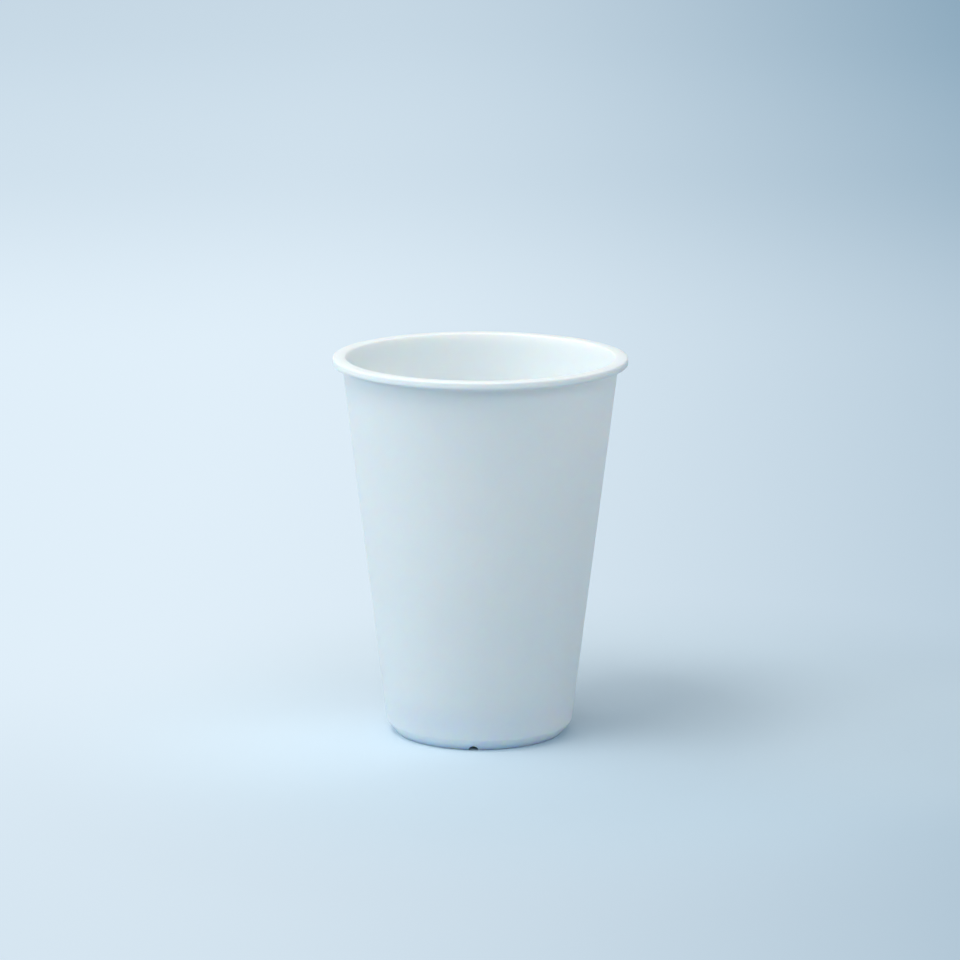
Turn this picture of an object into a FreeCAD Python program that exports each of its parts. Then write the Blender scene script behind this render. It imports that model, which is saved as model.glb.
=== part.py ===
import FreeCAD, Part
import math
import os

# A tall drinking cup, moulded in one piece in white plastic: a tapered wall, a flat lip round the
# mouth, a raised floor inside a foot ring that the wall turns in to, drain notches through that ring,
# and stacking ribs inside.  Millimetres.  The cup stands on z = 0 and its axis is +Z.

# Overall sizes
rim_diameter = 70.3            # across the outside of the lip
cup_height = 91.5              # standing plane to the top of the lip
foot_diameter = 44.0           # outer face of the wall, carried straight down to the standing plane

# Wall and lip
wall_thickness = 1.1           # square to the wall
lip_overhang = 2.3             # how far the lip stands out from the wall below it
lip_thickness = 1.85
lip_edge_rounding = 0.4        # both outer edges of the lip
mouth_rounding = 0.45          # inner edge of the lip, where one drinks
neck_fillet = 1.2              # under the lip, where it meets the wall

# Floor and foot ring
floor_thickness = 1.2
floor_corner_radius = 2.5      # inside, between the floor and the wall
foot_turn_height = 2.8         # the wall turns in at this height and slants to the standing face
foot_turn_in = 2.0             # how far in it slants
foot_turn_rounding = 1.2
standing_edge_rounding = 0.3   # outer edge of the standing face
standing_width = 0.9           # flat face of the foot ring that the cup stands on
recess_depth = 2.3             # the floor is raised by this much above the standing plane
recess_draft = 5.0             # degrees; the ring's inner side leans so that the mould can leave
recess_corner_rounding = 0.6
ring_edge_rounding = 0.2       # inner edge of the standing face

# Gate mark: where the plastic went in, at the middle of the underside
gate_dimple_diameter = 6.0
gate_dimple_depth = 0.3
gate_nub_diameter = 1.3
gate_nub_height = 0.2

# Drain notches through the foot ring
drain_notch_count = 3
drain_notch_width = 2.3        # the notch is a half round, so it is half as high as it is wide
first_notch_angle = -93.9      # degrees from +X; this notch looks out at the front of the cup

# Stacking ribs, which carry the foot ring of the next cup in a stack
stacking_rib_count = 6
stacking_rib_width = 1.2
stacking_rib_draft = 1.5       # degrees, on the rib's free edge
stacking_rib_rounding = 0.5    # top of the free edge
rib_overlap = 0.5              # how far the rib's top reaches past the standing face it carries
nesting_gap = 0.25             # left between the walls of two stacked cups

# How a rounding is drawn.  A true arc keeps its exact form.  A small or hidden one is laid as flats with
# their ends on the arc: two on an edge of the lip, or five in the floor's corner, stay within 0.03 mm.
true_arc = 0
bevel = 1
small_edge_flats = 2
floor_corner_flats = 5
sharp = (0, bevel)             # no rounding

# Sizes that follow from the ones above
rim_radius = rim_diameter / 2
foot_radius = foot_diameter / 2
neck_radius = rim_radius - lip_overhang
lip_underside = cup_height - lip_thickness
wall_slope = (neck_radius - foot_radius) / lip_underside
wall_taper = math.atan(wall_slope)
wall_across = wall_thickness / math.cos(wall_taper)
floor_top = recess_depth + floor_thickness

standing_outer_radius = foot_radius - foot_turn_in
standing_inner_radius = standing_outer_radius - standing_width
recess_radius = standing_inner_radius - recess_depth * math.tan(math.radians(recess_draft))

# One cup sinks into the next until its foot ring meets the ribs, one wall and one gap up the taper.
stacking_pitch = (wall_thickness + nesting_gap) / math.sin(wall_taper)


def outer_radius(height):
    return foot_radius + wall_slope * height


def inner_radius(height):
    return outer_radius(height) - wall_across


def point(radius, height):
    return FreeCAD.Vector(radius, 0, height)


def rounded_outline(corners):
    """Closed wire in the XZ plane through corners (radius, height, rounding, flats).

    A rounding is one true arc, or that many flats laid between points of the arc.
    """
    roundings = []
    for index, (radius, height, rounding, _) in enumerate(corners):
        corner = point(radius, height)
        if rounding == 0:
            roundings.append([corner])
            continue
        towards_before = (point(*corners[index - 1][:2]) - corner).normalize()
        towards_after = (point(*corners[(index + 1) % len(corners)][:2]) - corner).normalize()
        half_angle = towards_before.getAngle(towards_after) / 2
        bisector = (towards_before + towards_after).normalize()
        setback = rounding / math.tan(half_angle)
        arc_middle = corner + bisector * (rounding / math.sin(half_angle) - rounding)
        roundings.append([corner + towards_before * setback, arc_middle, corner + towards_after * setback])
    edges = []
    for index, arc_points in enumerate(roundings):
        flats = corners[index][3]
        if len(arc_points) == 3:
            arc = Part.Arc(*arc_points).toShape()
            edges += [arc] if flats == true_arc else Part.makePolygon(arc.discretize(flats + 1)).Edges
        next_start = roundings[(index + 1) % len(roundings)][0]
        edges.append(Part.LineSegment(arc_points[-1], next_start).toShape())
    return Part.Wire(edges)


def placed_round(shape, count, first_angle):
    """Copies of a shape set evenly round the axis, the first one turned to first_angle degrees."""
    copies = []
    for index in range(count):
        copy = shape.copy()
        copy.rotate(FreeCAD.Vector(0, 0, 0), FreeCAD.Vector(0, 0, 1), first_angle + index * 360 / count)
        copies.append(copy)
    return copies


def cup_body():
    """The wall, lip, floor, foot ring and gate mark, turned from one half section."""
    dimple_roof = recess_depth + gate_dimple_depth
    nub_end = dimple_roof - gate_nub_height
    half_section = rounded_outline([
        (0, nub_end, *sharp),
        (gate_nub_diameter / 2, nub_end, *sharp),
        (gate_nub_diameter / 2, dimple_roof, *sharp),
        (gate_dimple_diameter / 2, dimple_roof, *sharp),
        (gate_dimple_diameter / 2, recess_depth, *sharp),
        (recess_radius, recess_depth, recess_corner_rounding, bevel),
        (standing_inner_radius, 0, ring_edge_rounding, bevel),
        (standing_outer_radius, 0, standing_edge_rounding, bevel),
        (outer_radius(foot_turn_height), foot_turn_height, foot_turn_rounding, true_arc),
        (neck_radius, lip_underside, neck_fillet, true_arc),
        (rim_radius, lip_underside, lip_edge_rounding, small_edge_flats),
        (rim_radius, cup_height, lip_edge_rounding, small_edge_flats),
        (inner_radius(cup_height), cup_height, mouth_rounding, small_edge_flats),
        (inner_radius(floor_top), floor_top, floor_corner_radius, floor_corner_flats),
        (0, floor_top, *sharp),
    ])
    return Part.Face(half_section).revolve(FreeCAD.Vector(0, 0, 0), FreeCAD.Vector(0, 0, 1), 360)


def stacking_rib():
    """One rib along +X: an upright fin rooted in the wall and the floor, as high as the stacking pitch."""
    root_depth = wall_across / 2
    root_bottom = recess_depth + floor_thickness / 2
    free_edge_top = standing_inner_radius - rib_overlap
    rib_height = stacking_pitch - root_bottom
    free_edge_bottom = free_edge_top - rib_height * math.tan(math.radians(stacking_rib_draft))
    side_outline = rounded_outline([
        (free_edge_bottom, root_bottom, *sharp),
        (outer_radius(root_bottom) - root_depth, root_bottom, *sharp),
        (outer_radius(stacking_pitch) - root_depth, stacking_pitch, *sharp),
        (free_edge_top, stacking_pitch, stacking_rib_rounding, true_arc),
    ])
    rib = Part.Face(side_outline).extrude(FreeCAD.Vector(0, stacking_rib_width, 0))
    rib.translate(FreeCAD.Vector(0, -stacking_rib_width / 2, 0))
    return rib


def drain_notch():
    """Half-round channel along +X, from inside the recess out through the foot ring."""
    inner_end = recess_radius - drain_notch_width
    outer_end = foot_radius + drain_notch_width
    along_x = FreeCAD.Vector(1, 0, 0)
    return Part.makeCylinder(drain_notch_width / 2, outer_end - inner_end, point(inner_end, 0), along_x)


def moulded_cup():
    """The turned body with its ribs added and its notches cut.  No rib stands over a notch."""
    half_rib_step = 180 / stacking_rib_count
    ribs = placed_round(stacking_rib(), stacking_rib_count, first_notch_angle + half_rib_step)
    notches = placed_round(drain_notch(), drain_notch_count, first_notch_angle)
    return cup_body().fuse(ribs).cut(notches).removeSplitter()


os.makedirs("parts", exist_ok=True)
cup = moulded_cup()
cup.exportStep("parts/cup.step")
print("valid", cup.isValid(), "solids", len(cup.Solids), "volume", round(cup.Volume, 1), "mm3")
print("floor to brim", round(cup_height - floor_top, 2), "mm, stacked", round(stacking_pitch, 2), "mm apart")
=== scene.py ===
import bpy
import math
from mathutils import Matrix, Vector


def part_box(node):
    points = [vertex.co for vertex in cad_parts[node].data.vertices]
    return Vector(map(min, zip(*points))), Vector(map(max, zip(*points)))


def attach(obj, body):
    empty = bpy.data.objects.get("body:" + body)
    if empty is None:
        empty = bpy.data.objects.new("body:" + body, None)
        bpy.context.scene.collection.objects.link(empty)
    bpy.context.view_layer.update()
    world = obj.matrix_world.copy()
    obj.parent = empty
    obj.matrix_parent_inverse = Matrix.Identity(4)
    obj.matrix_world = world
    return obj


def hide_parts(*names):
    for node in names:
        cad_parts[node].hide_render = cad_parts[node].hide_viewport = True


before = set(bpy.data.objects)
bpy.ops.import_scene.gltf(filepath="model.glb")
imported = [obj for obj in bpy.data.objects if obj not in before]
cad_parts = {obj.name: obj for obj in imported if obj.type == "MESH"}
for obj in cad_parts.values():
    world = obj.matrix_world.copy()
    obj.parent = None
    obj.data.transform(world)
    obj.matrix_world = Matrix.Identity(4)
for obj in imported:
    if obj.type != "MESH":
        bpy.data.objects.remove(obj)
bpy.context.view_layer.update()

# ---- The cup ---------------------------------------------------------------------------------------
# The whole cup is one injection moulding in white polypropylene, about 1.1 mm thick.  Its wall, flat
# lip, raised floor and foot ring are turned from one half section.  Three drain notches are cut
# through the ring, and six stacking ribs stand inside where the floor meets the wall.

MM = 0.001
rim_radius, _, cup_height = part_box("cup")[1]
wall_thickness = 1.1 * MM
lip_overhang = 2.3 * MM
lip_thickness = 1.85 * MM
lip_edge_rounding = 0.4 * MM
mouth_rounding = 0.45 * MM     # inner edge of the lip
neck_fillet = 1.2 * MM         # under the lip
mould_line_width = 0.2 * MM    # fine groove round the middle of the lip's face
mould_line_depth = 0.07 * MM
mould_line_rounding = 0.03 * MM
foot_radius = 22.0 * MM        # outer face of the wall, carried down to the table
foot_turn_height = 2.8 * MM    # the wall turns in here and slants to the standing face
foot_turn_in = 2.0 * MM
foot_turn_rounding = 1.2 * MM
standing_width = 0.9 * MM      # flat face of the foot ring
standing_edge_rounding = 0.3 * MM
ring_edge_rounding = 0.2 * MM
recess_depth = 2.3 * MM
recess_draft = math.radians(5)
recess_corner_rounding = 0.6 * MM
floor_thickness = 1.2 * MM
floor_corner_radius = 2.5 * MM
gate_dimple_radius = 3.0 * MM
gate_dimple_depth = 0.3 * MM
gate_dimple_rounding = 0.12 * MM
gate_nub_radius = 0.65 * MM
gate_nub_height = 0.2 * MM
gate_nub_rounding = 0.08 * MM
gate_nub_fillet = 0.06 * MM
notch_count = 3
notch_radius = 1.15 * MM
notch_past_ring = 2 * MM       # how far the cut runs past the ring on both sides
first_notch = math.radians(-93.9)
rib_count = 6
rib_width = 1.2 * MM
rib_draft = math.radians(1.5)
rib_rounding = 0.5 * MM
rib_overlap = 0.5 * MM         # how far a rib's top reaches past the ring that it carries
nesting_gap = 0.25 * MM        # between the walls of two stacked cups

neck_radius = rim_radius - lip_overhang
lip_underside = cup_height - lip_thickness
mould_line_height = cup_height - lip_thickness / 2
wall_slope = (neck_radius - foot_radius) / lip_underside
wall_taper = math.atan(wall_slope)
floor_top = recess_depth + floor_thickness
dimple_roof = recess_depth + gate_dimple_depth
standing_outer_radius = foot_radius - foot_turn_in
standing_inner_radius = standing_outer_radius - standing_width
recess_radius = standing_inner_radius - recess_depth * math.tan(recess_draft)


def inner_radius(height):
    """Inner face of the wall at that height."""
    return foot_radius + wall_slope * height - wall_thickness / math.cos(wall_taper)


# Corners of the half section from the middle of the underside round to the middle of the floor:
# radius, height, and the rounding of the corner.
half_section = [
    (0, dimple_roof - gate_nub_height, 0),
    (gate_nub_radius, dimple_roof - gate_nub_height, gate_nub_rounding),
    (gate_nub_radius, dimple_roof, gate_nub_fillet),
    (gate_dimple_radius, dimple_roof, gate_dimple_rounding),
    (gate_dimple_radius, recess_depth, gate_dimple_rounding),
    (recess_radius, recess_depth, recess_corner_rounding),
    (standing_inner_radius, 0, ring_edge_rounding),
    (standing_outer_radius, 0, standing_edge_rounding),
    (foot_radius + wall_slope * foot_turn_height, foot_turn_height, foot_turn_rounding),
    (neck_radius, lip_underside, neck_fillet),
    (rim_radius, lip_underside, lip_edge_rounding),
    (rim_radius, mould_line_height - mould_line_width / 2, mould_line_rounding),
    (rim_radius - mould_line_depth, mould_line_height, mould_line_rounding),
    (rim_radius, mould_line_height + mould_line_width / 2, mould_line_rounding),
    (rim_radius, cup_height, lip_edge_rounding),
    (inner_radius(cup_height), cup_height, mouth_rounding),
    (inner_radius(floor_top), floor_top, floor_corner_radius),
    (0, floor_top, 0),
]

# Side view of one stacking rib.  Its root lies inside the wall and the floor, and its free edge
# reaches just past the foot ring that it carries when a second cup is stacked in this one.
rib_top = (wall_thickness + nesting_gap) / math.sin(wall_taper)
rib_bottom = recess_depth + floor_thickness / 2
rib_edge_top = standing_inner_radius - rib_overlap
rib_edge_bottom = rib_edge_top - (rib_top - rib_bottom) * math.tan(rib_draft)
rib_side = [
    (rib_edge_bottom, rib_bottom, 0),
    (inner_radius(rib_bottom) + wall_thickness / 2, rib_bottom, 0),
    (inner_radius(rib_top) + wall_thickness / 2, rib_top, 0),
    (rib_edge_top, rib_top, rib_rounding),
]


def outline_mesh(name, outlines):
    """Edges through the corners of each outline; an outline marked closed comes back to its start."""
    corners = []
    edges = []
    for outline, closed in outlines:
        first = len(corners)
        corners += outline
        edges += [(index, index + 1) for index in range(first, len(corners) - 1)]
        if closed:
            edges.append((len(corners) - 1, first))
    mesh = bpy.data.meshes.new(name)
    mesh.from_pydata([(radius, height, 0) for radius, height, _ in corners], edges, [])
    rounding = mesh.attributes.new("rounding", "FLOAT", "POINT")
    rounding.data.foreach_set("value", [corner[2] for corner in corners])
    return mesh


def add_node(tree, kind, inputs, **settings):
    """A node with its settings; inputs maps a socket's name or number to a value or to an output."""
    made = tree.nodes.new(kind)
    for name, value in settings.items():
        setattr(made, name, value)
    for socket, value in inputs.items():
        if isinstance(value, bpy.types.NodeSocket):
            tree.links.new(value, made.inputs[socket])
        else:
            made.inputs[socket].default_value = value
    return made


def add_math(tree, operation, *values):
    """Output of one math node."""
    return add_node(tree, "ShaderNodeMath", dict(enumerate(values)), operation=operation).outputs[0]


def turned_cup_tree():
    """Turns the half section, cuts the notches out of it and joins the ribs to it."""
    fewest_corner_points = 4
    notch_sides = 64
    seam_weld = 1e-6
    cut_weld = 2e-6
    tree = bpy.data.node_groups.new("turned_cup", "GeometryNodeTree")
    face = tree.interface
    face.new_socket("Outlines", in_out="INPUT", socket_type="NodeSocketGeometry")
    sizes = {
        "Corner Step": "Float",
        "Row Step": "Float",
        "Columns": "Int",
        "Section Corners": "Int",
        "Notch Count": "Int",
        "Notch Radius": "Float",
        "Notch Start": "Float",
        "Notch End": "Float",
        "First Notch": "Float",
        "Rib Count": "Int",
        "Rib Width": "Float",
        "First Rib": "Float",
        "Sharp Angle": "Float",
        "Plastic": "Material",
    }
    for name, kind in sizes.items():
        face.new_socket(name, in_out="INPUT", socket_type="NodeSocket" + kind)
    face.new_socket("Cup", in_out="OUTPUT", socket_type="NodeSocketGeometry")
    given = tree.nodes.new("NodeGroupInput").outputs

    # Round the corners of both outlines, with more points on a larger rounding.
    index = add_node(tree, "GeometryNodeInputIndex", {}).outputs[0]
    in_section = add_node(
        tree, "FunctionNodeCompare", {2: index, 3: given["Section Corners"]},
        data_type="INT", operation="LESS_THAN",
    ).outputs[0]
    parts = add_node(
        tree, "GeometryNodeSeparateGeometry", {"Geometry": given["Outlines"], "Selection": in_section},
    )
    rounding = add_node(tree, "GeometryNodeInputNamedAttribute", {"Name": "rounding"}).outputs[0]
    points_per_metre = add_math(tree, "DIVIDE", 1, given["Corner Step"])
    corner_points = add_math(tree, "MULTIPLY_ADD", rounding, points_per_metre, fewest_corner_points)

    def rounded(outline):
        line = add_node(tree, "GeometryNodeMeshToCurve", {"Mesh": outline})
        return add_node(
            tree, "GeometryNodeFilletCurve",
            {"Curve": line.outputs[0], "Count": corner_points, "Radius": rounding, "Limit Radius": True},
            mode="POLY",
        ).outputs[0]

    # Divide the long straights, so that rows go evenly up the wall.
    section = rounded(parts.outputs["Selection"])
    place = add_node(tree, "GeometryNodeInputPosition", {}).outputs[0]
    next_index = add_node(tree, "FunctionNodeIntegerMath", {0: index, 1: 1}).outputs[0]
    after = add_node(
        tree, "GeometryNodeFieldAtIndex", {"Value": place, "Index": next_index}, data_type="FLOAT_VECTOR",
    ).outputs[0]
    span = add_node(
        tree, "ShaderNodeVectorMath", {0: place, 1: after}, operation="DISTANCE",
    ).outputs["Value"]
    cuts = add_math(tree, "FLOOR", add_math(tree, "DIVIDE", span, given["Row Step"]))
    profile = add_node(tree, "GeometryNodeSubdivideCurve", {"Curve": section, "Cuts": cuts}).outputs[0]

    # One column of the grid is one copy of the profile, turned about the axis.
    rows = add_node(
        tree, "GeometryNodeAttributeDomainSize", {"Geometry": profile}, component="CURVE",
    ).outputs["Point Count"]
    lines = add_node(tree, "FunctionNodeIntegerMath", {0: given["Columns"], 1: 1}).outputs[0]
    grid = add_node(tree, "GeometryNodeMeshGrid", {"Vertices X": rows, "Vertices Y": lines}).outputs[0]
    row = add_node(
        tree, "FunctionNodeIntegerMath", {0: index, 1: lines}, operation="DIVIDE_FLOOR",
    ).outputs[0]
    column = add_node(
        tree, "FunctionNodeIntegerMath", {0: index, 1: lines}, operation="MODULO",
    ).outputs[0]
    corner = add_node(
        tree, "GeometryNodeSampleIndex", {"Geometry": profile, "Value": place, "Index": row},
        data_type="FLOAT_VECTOR",
    ).outputs[0]
    apart = add_node(tree, "ShaderNodeSeparateXYZ", {0: corner})
    turn = add_math(tree, "MULTIPLY", column, add_math(tree, "DIVIDE", math.tau, given["Columns"]))
    turned_place = add_node(tree, "ShaderNodeCombineXYZ", {
        "X": add_math(tree, "MULTIPLY", apart.outputs["X"], add_math(tree, "COSINE", turn)),
        "Y": add_math(tree, "MULTIPLY", apart.outputs["X"], add_math(tree, "SINE", turn)),
        "Z": apart.outputs["Y"],
    }).outputs[0]
    turned = add_node(
        tree, "GeometryNodeSetPosition", {"Geometry": grid, "Position": turned_place},
    ).outputs[0]
    body = add_node(
        tree, "GeometryNodeMergeByDistance", {"Geometry": turned, "Distance": seam_weld},
    ).outputs[0]

    def set_round(shape, count, first):
        """Copies of a shape that lies along +X, evenly round the axis."""
        step = add_math(tree, "DIVIDE", math.tau, count)
        angle = add_math(tree, "MULTIPLY_ADD", index, step, first)
        spot = add_node(tree, "GeometryNodePoints", {"Count": count}).outputs[0]
        facing = add_node(tree, "ShaderNodeCombineXYZ", {"Z": angle}).outputs[0]
        copies = add_node(tree, "GeometryNodeInstanceOnPoints", {
            "Points": spot, "Instance": shape, "Rotation": facing,
        }).outputs[0]
        return add_node(tree, "GeometryNodeRealizeInstances", {"Geometry": copies}).outputs[0]

    # A notch is a half round: a bar that lies in the standing face and is cut away.
    length = add_math(tree, "SUBTRACT", given["Notch End"], given["Notch Start"])
    bar = add_node(
        tree, "GeometryNodeMeshCylinder",
        {"Vertices": notch_sides, "Radius": given["Notch Radius"], "Depth": length},
    ).outputs["Mesh"]
    both_ends = add_math(tree, "ADD", given["Notch End"], given["Notch Start"])
    middle = add_math(tree, "MULTIPLY", both_ends, 0.5)
    lying = add_node(tree, "GeometryNodeTransform", {
        "Geometry": bar,
        "Translation": add_node(tree, "ShaderNodeCombineXYZ", {"X": middle}).outputs[0],
        "Rotation": (0, math.pi / 2, 0),
    }).outputs[0]
    notches = set_round(lying, given["Notch Count"], given["First Notch"])
    notched = add_node(
        tree, "GeometryNodeMeshBoolean", {"Mesh 1": body, "Mesh 2": notches},
        operation="DIFFERENCE", solver="EXACT",
    ).outputs["Mesh"]

    # A rib is its side view drawn out to the rib's width.
    near_side = add_math(tree, "MULTIPLY", given["Rib Width"], -0.5)
    far_side = add_math(tree, "MULTIPLY", given["Rib Width"], 0.5)
    across = add_node(tree, "GeometryNodeCurvePrimitiveLine", {
        "Start": add_node(tree, "ShaderNodeCombineXYZ", {"Z": near_side}).outputs[0],
        "End": add_node(tree, "ShaderNodeCombineXYZ", {"Z": far_side}).outputs[0],
    }).outputs[0]
    fin = add_node(tree, "GeometryNodeCurveToMesh", {
        "Curve": across, "Profile Curve": rounded(parts.outputs["Inverted"]), "Fill Caps": True,
    }).outputs[0]
    upright = add_node(
        tree, "GeometryNodeTransform", {"Geometry": fin, "Rotation": (math.pi / 2, 0, 0)},
    ).outputs[0]
    ribs = set_round(upright, given["Rib Count"], given["First Rib"])
    joined = add_node(
        tree, "GeometryNodeMeshBoolean", {"Mesh 2": ribs}, operation="UNION", solver="EXACT",
    )
    tree.links.new(notched, joined.inputs["Mesh 2"])

    # Smooth faces, with true edges kept at the notches and ribs.
    welded = add_node(
        tree, "GeometryNodeMergeByDistance", {"Geometry": joined.outputs["Mesh"], "Distance": cut_weld},
    ).outputs[0]
    clean = add_node(
        tree, "GeometryNodeRemoveAttribute", {"Geometry": welded, "Name": "rounding"},
    ).outputs[0]
    smooth = add_node(
        tree, "GeometryNodeSetShadeSmooth", {"Geometry": clean, "Shade Smooth": True},
    ).outputs[0]
    bend = add_node(tree, "GeometryNodeInputMeshEdgeAngle", {}).outputs["Unsigned Angle"]
    creased = add_node(tree, "GeometryNodeSetShadeSmooth", {
        "Geometry": smooth,
        "Selection": add_math(tree, "GREATER_THAN", bend, given["Sharp Angle"]),
        "Shade Smooth": False,
    }, domain="EDGE").outputs[0]
    whole = add_node(tree, "GeometryNodeRealizeInstances", {"Geometry": creased}).outputs[0]
    finished = add_node(
        tree, "GeometryNodeSetMaterial", {"Geometry": whole, "Material": given["Plastic"]},
    ).outputs[0]
    add_node(tree, "NodeGroupOutput", {"Cup": finished})
    return tree


def fine_grain_group():
    """Relief of a fine grain, and a slow drift from place to place, at the sizes a material gives."""
    group = bpy.data.node_groups.new("fine_grain", "ShaderNodeTree")
    face = group.interface
    face.new_socket("Place", in_out="INPUT", socket_type="NodeSocketVector")
    face.new_socket("Grain Size", in_out="INPUT", socket_type="NodeSocketFloat")
    face.new_socket("Drift Size", in_out="INPUT", socket_type="NodeSocketFloat")
    face.new_socket("Grain", in_out="OUTPUT", socket_type="NodeSocketFloat")
    face.new_socket("Drift", in_out="OUTPUT", socket_type="NodeSocketFloat")
    given = add_node(group, "NodeGroupInput", {}).outputs
    textures = {}
    for name, detail in (("Grain", 3), ("Drift", 2)):
        textures[name] = add_node(group, "ShaderNodeTexNoise", {
            "Vector": given["Place"],
            "Scale": add_math(group, "DIVIDE", 1, given[name + " Size"]),
            "Detail": detail,
        }).outputs[0]
    add_node(group, "NodeGroupOutput", textures)
    return group


fine_grain = fine_grain_group()
milky_white = (0.875, 0.925, 0.945, 1)
chalky_white = (0.895, 0.942, 0.965, 1)
scuffed_white = (0.80, 0.805, 0.80, 1)
satin_roughness = 0.41
refraction = 1.49
light_spread = 1.7 * MM        # how far light goes inside, times these shares of red, green and blue
wall_spread = (1.4, 1.0, 0.8)
foot_spread = (3.2, 2.0, 0.8)
flow_radius = 28 * MM          # where the streaks have their true width
flow_stretch = 20              # how much longer than wide a streak is


def cup_plastic():
    """Satin white polypropylene.

    It filled the mould from the middle of the floor outwards and up the wall, so its faint streaks run
    that way.  Its white drifts a little, its grain is very fine, and the foot ring is scuffed.
    """
    plastic = bpy.data.materials.new("satin_polypropylene")
    plastic.use_nodes = True
    tree = plastic.node_tree
    surface = tree.nodes["Principled BSDF"].inputs
    surface["IOR"].default_value = refraction
    surface["Subsurface Weight"].default_value = 1.0
    surface["Subsurface Scale"].default_value = light_spread
    place = add_node(tree, "ShaderNodeTexCoord", {}).outputs["Object"]
    apart = add_node(tree, "ShaderNodeSeparateXYZ", {0: place}).outputs
    mould = add_node(
        tree, "ShaderNodeGroup", {"Place": place, "Grain Size": 0.3 * MM, "Drift Size": 15 * MM},
        node_tree=fine_grain,
    ).outputs
    handling = add_node(
        tree, "ShaderNodeGroup", {"Place": place, "Grain Size": 1.2 * MM, "Drift Size": 8 * MM},
        node_tree=fine_grain,
    ).outputs

    # Streaks lie along the flow: fine round the axis, and drawn out along the wall.
    outwards = add_node(tree, "ShaderNodeCombineXYZ", {"X": apart["X"], "Y": apart["Y"]}).outputs[0]
    bearing = add_node(tree, "ShaderNodeVectorMath", {0: outwards}, operation="NORMALIZE").outputs[0]
    upwards = add_node(
        tree, "ShaderNodeCombineXYZ", {"Z": add_math(tree, "DIVIDE", apart["Z"], flow_stretch)},
    ).outputs[0]
    flow_place = add_node(
        tree, "ShaderNodeVectorMath", {0: bearing, 1: (flow_radius, flow_radius, 0), 2: upwards},
        operation="MULTIPLY_ADD",
    ).outputs[0]
    streaks = add_node(
        tree, "ShaderNodeGroup", {"Place": flow_place, "Grain Size": 0.5 * MM, "Drift Size": 4 * MM},
        node_tree=fine_grain,
    ).outputs

    # Light spreads inside the plastic.  The thick foot lets more of the warm part of it through.
    in_foot = add_node(tree, "ShaderNodeMapRange", {
        "Value": apart["Z"], "From Min": 14 * MM, "From Max": 3 * MM,
    }, interpolation_type="SMOOTHSTEP").outputs[0]
    spread = add_node(
        tree, "ShaderNodeMix", {0: in_foot, 4: wall_spread, 5: foot_spread}, data_type="VECTOR",
    ).outputs[1]
    tree.links.new(spread, surface["Subsurface Radius"])

    # The foot ring slides over tables, so its standing face is dull and a little grey.
    on_foot = add_node(tree, "ShaderNodeMapRange", {
        "Value": apart["Z"], "From Min": 0.3 * MM, "From Max": 0.02 * MM,
    }, interpolation_type="SMOOTHSTEP").outputs[0]
    scratched = add_node(tree, "ShaderNodeMapRange", {
        "Value": handling["Grain"], "From Min": 0.42, "From Max": 0.6,
    }).outputs[0]
    scuffs = add_math(tree, "MULTIPLY", on_foot, scratched)
    white = add_node(tree, "ShaderNodeMix", {
        0: add_math(tree, "MULTIPLY_ADD", add_math(tree, "SUBTRACT", mould["Drift"], 0.5), 2.0, 0.5),
        6: milky_white, 7: chalky_white,
    }, data_type="RGBA", clamp_factor=True).outputs[2]
    color = add_node(tree, "ShaderNodeMix", {
        0: scuffs, 6: white, 7: scuffed_white,
    }, data_type="RGBA").outputs[2]
    tree.links.new(color, surface["Base Color"])

    # Handling and the flow vary the sheen.  The lip is drunk from, so it is a touch smoother than the
    # wall, and the scuffs are duller.
    on_lip = add_node(tree, "ShaderNodeMapRange", {
        "Value": apart["Z"], "From Min": cup_height - 1.0 * MM, "From Max": cup_height - 0.2 * MM,
    }, interpolation_type="SMOOTHSTEP").outputs[0]
    dullness = satin_roughness
    for cause, middle, change in (
        (handling["Drift"], 0.5, 0.2),
        (streaks["Drift"], 0.5, 0.12),
        (on_lip, 0, -0.02),
        (scuffs, 0, 0.25),
    ):
        off_middle = add_math(tree, "SUBTRACT", cause, middle)
        dullness = add_math(tree, "MULTIPLY_ADD", off_middle, change, dullness)
    tree.links.new(dullness, surface["Roughness"])

    # Relief, from the slow waviness that shrinking leaves to the mould's grain.
    normal = None
    for height, depth in (
        (mould["Drift"], 0.08 * MM),
        (streaks["Grain"], 0.0015 * MM),
        (handling["Grain"], 0.004 * MM),
        (mould["Grain"], 0.003 * MM),
    ):
        relief = add_node(tree, "ShaderNodeBump", {"Height": height, "Distance": depth})
        if normal:
            tree.links.new(normal, relief.inputs["Normal"])
        normal = relief.outputs[0]
    tree.links.new(normal, surface["Normal"])
    return plastic


def plain_mesh(name, source, tree, values):
    """The result of a node tree on a source mesh, as a plain mesh object."""
    maker = bpy.data.objects.new(name + "_maker", source)
    bpy.context.scene.collection.objects.link(maker)
    modifier = maker.modifiers.new("shape", "NODES")
    modifier.node_group = tree
    for item in tree.interface.items_tree:
        if item.in_out == "INPUT" and item.name in values:
            modifier[item.identifier] = values[item.name]
    evaluated = maker.evaluated_get(bpy.context.evaluated_depsgraph_get())
    mesh = bpy.data.meshes.new_from_object(evaluated)
    mesh.name = name
    bpy.data.objects.remove(maker)
    piece = bpy.data.objects.new(name, mesh)
    bpy.context.scene.collection.objects.link(piece)
    return piece


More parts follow.
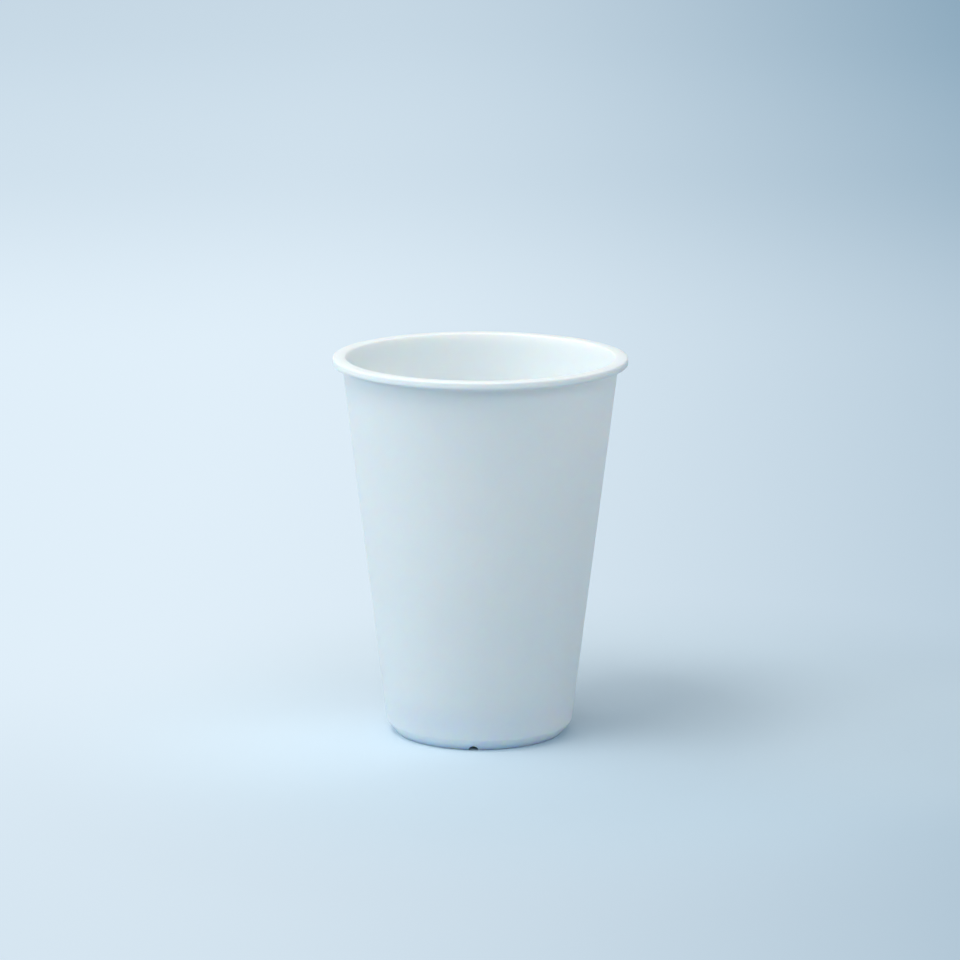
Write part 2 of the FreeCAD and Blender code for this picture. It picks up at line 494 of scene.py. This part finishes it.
cup = plain_mesh(
    "moulded_cup",
    outline_mesh("cup_outlines", [(half_section, False), (rib_side, True)]),
    turned_cup_tree(),
    {
        "Corner Step": 0.25 * MM,
        "Row Step": 3 * MM,
        "Columns": 256,
        "Section Corners": len(half_section),
        "Notch Count": notch_count,
        "Notch Radius": notch_radius,
        "Notch Start": recess_radius - notch_past_ring,
        "Notch End": foot_radius + notch_past_ring,
        "First Notch": first_notch,
        "Rib Count": rib_count,
        "Rib Width": rib_width,
        "First Rib": first_notch + math.pi / rib_count,
        "Sharp Angle": math.radians(35),
        "Plastic": cup_plastic(),
    },
)
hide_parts("cup")
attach(cup, "root")

# ---- Sweep -----------------------------------------------------------------------------------------
# A sheet of pale blue matt paper carries the cup.  It lies flat under the cup and curves up all round,
# so that no edge shows.

sweep_flat_radius = 1.5
sweep_curve_radius = 0.6
sweep_height = 1.1
sweep_segments = 96
sweep_curve_steps = 12

sweep_profile = [(0.0, 0.0)]
for step in range(sweep_curve_steps + 1):
    climb = math.pi / 2 * step / sweep_curve_steps
    sweep_profile.append((
        sweep_flat_radius + sweep_curve_radius * math.sin(climb),
        sweep_curve_radius * (1 - math.cos(climb)),
    ))
sweep_profile.append((sweep_flat_radius + sweep_curve_radius, sweep_height))

sweep_points = []
sweep_faces = []
for segment in range(sweep_segments):
    turn = math.tau * segment / sweep_segments
    ring = segment * len(sweep_profile)
    next_ring = (segment + 1) % sweep_segments * len(sweep_profile)
    for row, (radius, height) in enumerate(sweep_profile):
        sweep_points.append((radius * math.cos(turn), radius * math.sin(turn), height))
        if row:
            sweep_faces.append((ring + row - 1, ring + row, next_ring + row, next_ring + row - 1))
sweep_mesh = bpy.data.meshes.new("sweep")
sweep_mesh.from_pydata(sweep_points, [], sweep_faces)
sweep_mesh.shade_smooth()
sweep = bpy.data.objects.new("sweep", sweep_mesh)
bpy.context.scene.collection.objects.link(sweep)
# The paper's colour in full painted light, and in its deepest painted shade.
paper_in_painted_light = (0.736, 0.848, 0.936, 1)
paper_in_painted_shade = (0.250, 0.384, 0.498, 1)
paper_bounce = (0.34, 0.455, 0.55, 1)
black = (0, 0, 0, 1)


def sweep_paper():
    """Matt pale blue paper with painted shade: palest to the left, painted darker to the right and
    behind.

    Round the cup it is lit by the lamps, over its painted shade.  Further out it glows with its colour
    and painted shade by itself, so that only the painted shade shows where the lamps don't reach.  To
    light that bounces it is dimmer than to the eye.
    """
    paper = bpy.data.materials.new("sweep_paper")
    paper.use_nodes = True
    tree = paper.node_tree
    surface = tree.nodes["Principled BSDF"].inputs
    surface["Roughness"].default_value = 0.9
    surface["Specular IOR Level"].default_value = 0.1
    surface["Emission Strength"].default_value = 1
    place = add_node(tree, "ShaderNodeTexCoord", {}).outputs["Object"]
    apart = add_node(tree, "ShaderNodeSeparateXYZ", {0: place}).outputs

    def ramp(value, start, end, depth):
        """Rises smoothly from 0 to depth as the value goes from start to end."""
        return add_node(tree, "ShaderNodeMapRange", {
            "Value": value, "From Min": start, "From Max": end, "To Max": depth,
        }, interpolation_type="SMOOTHSTEP").outputs[0]

    def blend(factor, first, second):
        return add_node(
            tree, "ShaderNodeMix", {0: factor, 6: first, 7: second}, data_type="RGBA",
        ).outputs[2]

    def far_from(spot):
        return add_node(
            tree, "ShaderNodeVectorMath", {0: place, 1: spot}, operation="DISTANCE",
        ).outputs["Value"]

    # Painted shade for the light's fall-off: the blue is painted darker to the right, where it reaches
    # further out the further back it is, then behind, and at the front edge.  A spot past the shadow is
    # painted lighter, and one before the cup is painted a little darker, to even out the lamps' pool.
    right_end = add_math(tree, "MULTIPLY_ADD", apart["Y"], 0.125, 0.29)
    painted_shade_depth = ramp(apart["X"], -0.108, right_end, 0.80)
    for start, end, depth in ((0.50, 1.05, 0.23), (0.90, 2.10, 0.19), (0.08, -0.16, 0.15)):
        painted_shade_depth = add_math(tree, "ADD", painted_shade_depth, ramp(apart["Y"], start, end, depth))
    for spot, start, end, depth in (
        ((0.12, -0.01, 0), 0.09, 0.03, -0.08),
        ((-0.02, -0.04, 0), 0.12, 0.03, 0.06),
    ):
        painted_shade_depth = add_math(tree, "ADD", painted_shade_depth, ramp(far_from(spot), start, end, depth))
    shade = blend(painted_shade_depth, paper_in_painted_light, paper_in_painted_shade)

    # What the eye meets first, straight or in a sheen, shows the colour with its painted shade.
    path = add_node(tree, "ShaderNodeLightPath", {}).outputs
    seen = add_math(tree, "ADD", path["Is Camera Ray"], path["Is Glossy Ray"])
    seen = add_math(tree, "ADD", seen, path["Is Transmission Ray"])
    # Further out the paper glows with that colour and its painted shade, in place of the lamps' light.
    by_itself = add_math(tree, "MULTIPLY", ramp(far_from((0.03, 0, 0)), 0.07, 0.15, 1.0), seen)
    bounced = blend(ramp(far_from((0, 0, 0)), 0.020, 0.030, 1.0), shade, paper_bounce)
    tree.links.new(blend(by_itself, blend(seen, bounced, shade), black), surface["Base Color"])
    tree.links.new(blend(by_itself, black, shade), surface["Emission Color"])
    return paper


sweep_mesh.materials.append(sweep_paper())

# ---- Light -----------------------------------------------------------------------------------------
# Eight soft lamps stand round the cup and point at the middle of it.  Most of the light comes from
# the left, high up and a touch warm, and the low ones, a touch cool, open up the shadows.

lamp_distance = 1.25
lamp_aim = Vector((0, 0, cup_height / 2))
cool_white = (0.90, 1.0, 1.05)
warm_white = (1.02, 0.975, 0.925)


def soft_lamp(name, bearing, climb, width, height, watts, color):
    """A rectangular lamp; bearing is from +X towards +Y and climb is above the floor, in degrees."""
    lamp = bpy.data.lights.new(name, "AREA")
    lamp.shape = "RECTANGLE"
    lamp.size = width
    lamp.size_y = height
    lamp.energy = watts
    lamp.color = color
    outwards = Vector((
        math.cos(math.radians(bearing)) * math.cos(math.radians(climb)),
        math.sin(math.radians(bearing)) * math.cos(math.radians(climb)),
        math.sin(math.radians(climb)),
    ))
    stand = bpy.data.objects.new(name, lamp)
    stand.location = lamp_aim + outwards * lamp_distance
    stand.rotation_euler = outwards.to_track_quat("Z", "Y").to_euler()
    bpy.context.scene.collection.objects.link(stand)


soft_lamp("key", 220, 62, 0.6, 0.5, 5.4, warm_white)
soft_lamp("high_side", 162, 62, 1.1, 0.5, 3.2, warm_white)
soft_lamp("high_front", 285, 68, 1.2, 0.5, 1.2, warm_white)
soft_lamp("back", 75, 50, 1.2, 0.5, 3.2, warm_white)
soft_lamp("low_side", 182, 25, 1.7, 0.5, 6.6, cool_white)
soft_lamp("low_front", 225, 25, 1.0, 0.5, 2.1, cool_white)
soft_lamp("front", 290, 46, 1.4, 0.5, 4.3, cool_white)
soft_lamp("far_side", 350, 22, 0.9, 0.5, 2.6, cool_white)

world = bpy.data.worlds.new("studio")
world.use_nodes = True
world.node_tree.nodes["Background"].inputs["Strength"].default_value = 0
bpy.context.scene.world = world

# ---- Camera ----------------------------------------------------------------------------------------
# A long lens looks from the front, a metre away and a little above the cup, so that its mouth shows
# as a flat ellipse.

camera_place = Vector((0, -0.9842, 0.2667))
looking_down = 0.20567         # radians
camera_roll = 0.00272

camera = bpy.data.cameras.new("camera")
camera.lens = 157.55
camera.sensor_width = 36
camera_object = bpy.data.objects.new("camera", camera)
tilt = Matrix.Rotation(math.pi / 2 - looking_down, 4, "X")
roll = Matrix.Rotation(camera_roll, 4, "Z")
camera_object.matrix_world = Matrix.Translation(camera_place) @ tilt @ roll
bpy.context.scene.collection.objects.link(camera_object)
bpy.context.scene.camera = camera_object
bpy.context.scene.view_settings.view_transform = "Standard"
